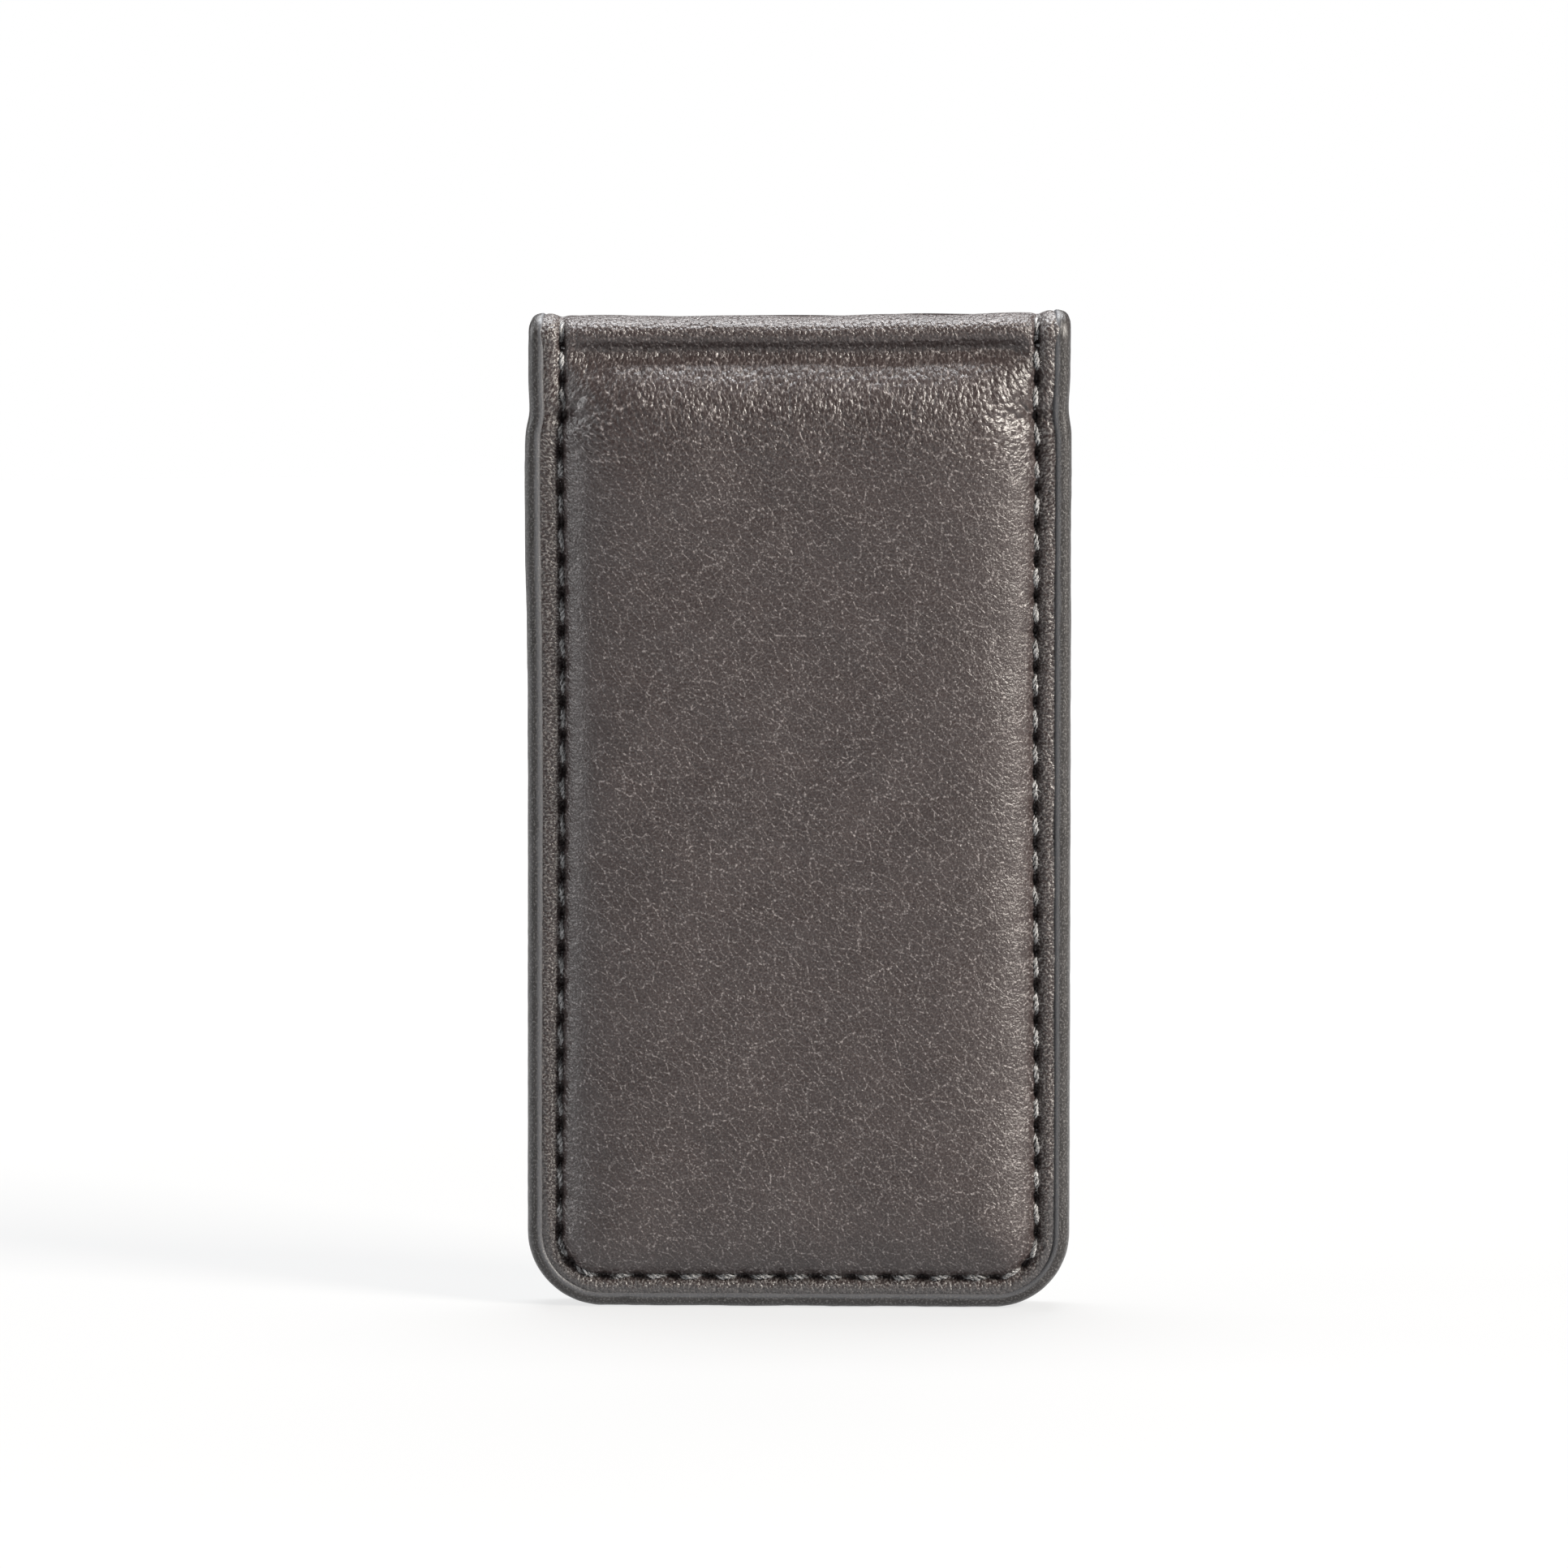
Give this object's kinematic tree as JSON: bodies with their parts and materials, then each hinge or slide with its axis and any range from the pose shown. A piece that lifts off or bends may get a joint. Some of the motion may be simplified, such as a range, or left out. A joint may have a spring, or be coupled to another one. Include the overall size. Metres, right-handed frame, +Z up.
{
  "type": "money clip",
  "caption": "Folding magnetic money clip: a padded leather strip stitched round its edge, folded in half and held shut by magnets in both flaps.",
  "frame": {"origin": "middle of the open end's edges, on the ground that the clip stands on", "axes": "+Z up, from the open end to the fold; -Y out of the front flap; +X to the right when looking at the front flap"},
  "size_m": [0.0382, 0.0082, 0.0698],
  "materials": {
    "cover_leather": "satin",
    "lining_leather": "matte",
    "edge_paint": "satin",
    "thread": "satin",
    "foam": "matte",
    "fibre_board": "matte",
    "magnet": "satin"
  },
  "bodies": {
    "back_flap": {"back_cover_leather": "cover_leather", "back_foam_pad": "foam", "back_stiffener_board": "fibre_board", "back_left_magnet": "magnet", "back_right_magnet": "magnet", "back_lining": "lining_leather", "back_edge_coat": "edge_paint", "back_cover_stitches": "thread", "back_lining_stitches": "thread"},
    "fold": {"fold_cover_leather": "cover_leather", "fold_lining": "lining_leather", "fold_left_edge_coat": "edge_paint", "fold_right_edge_coat": "edge_paint", "fold_left_cover_stitches": "thread", "fold_right_cover_stitches": "thread", "fold_left_lining_stitches": "thread", "fold_right_lining_stitches": "thread"},
    "front_flap": {"front_cover_leather": "cover_leather", "front_foam_pad": "foam", "front_stiffener_board": "fibre_board", "front_left_magnet": "magnet", "front_right_magnet": "magnet", "front_lining": "lining_leather", "front_edge_coat": "edge_paint", "front_cover_stitches": "thread", "front_lining_stitches": "thread"}
  },
  "joints": [
    {"name": "fold_back_hinge", "type": "hinge", "parent": "back_flap", "child": "fold", "pos_m": [0, 0.00071, 0.06861], "axis": [-1, 0, 0], "range_deg": [0, 90], "stiffness_Nm_per_rad": 0.004, "springref_deg": -34.38, "deforming": ["fold_cover_leather", "fold_lining", "fold_left_edge_coat", "fold_right_edge_coat", "fold_left_cover_stitches", "fold_right_cover_stitches", "fold_left_lining_stitches", "fold_right_lining_stitches"]},
    {"name": "fold_front_hinge", "type": "hinge", "parent": "fold", "child": "front_flap", "pos_m": [0, -0.00071, 0.06861], "axis": [-1, 0, 0], "range_deg": [0, 90], "stiffness_Nm_per_rad": 0.004, "springref_deg": -34.38, "deforming": ["fold_cover_leather", "fold_lining", "fold_left_edge_coat", "fold_right_edge_coat", "fold_left_cover_stitches", "fold_right_cover_stitches", "fold_left_lining_stitches", "fold_right_lining_stitches"]}
  ],
  "couplings": [
    {"joint": "fold_back_hinge", "follows": "fold_front_hinge", "ratio": 1}
  ]
}
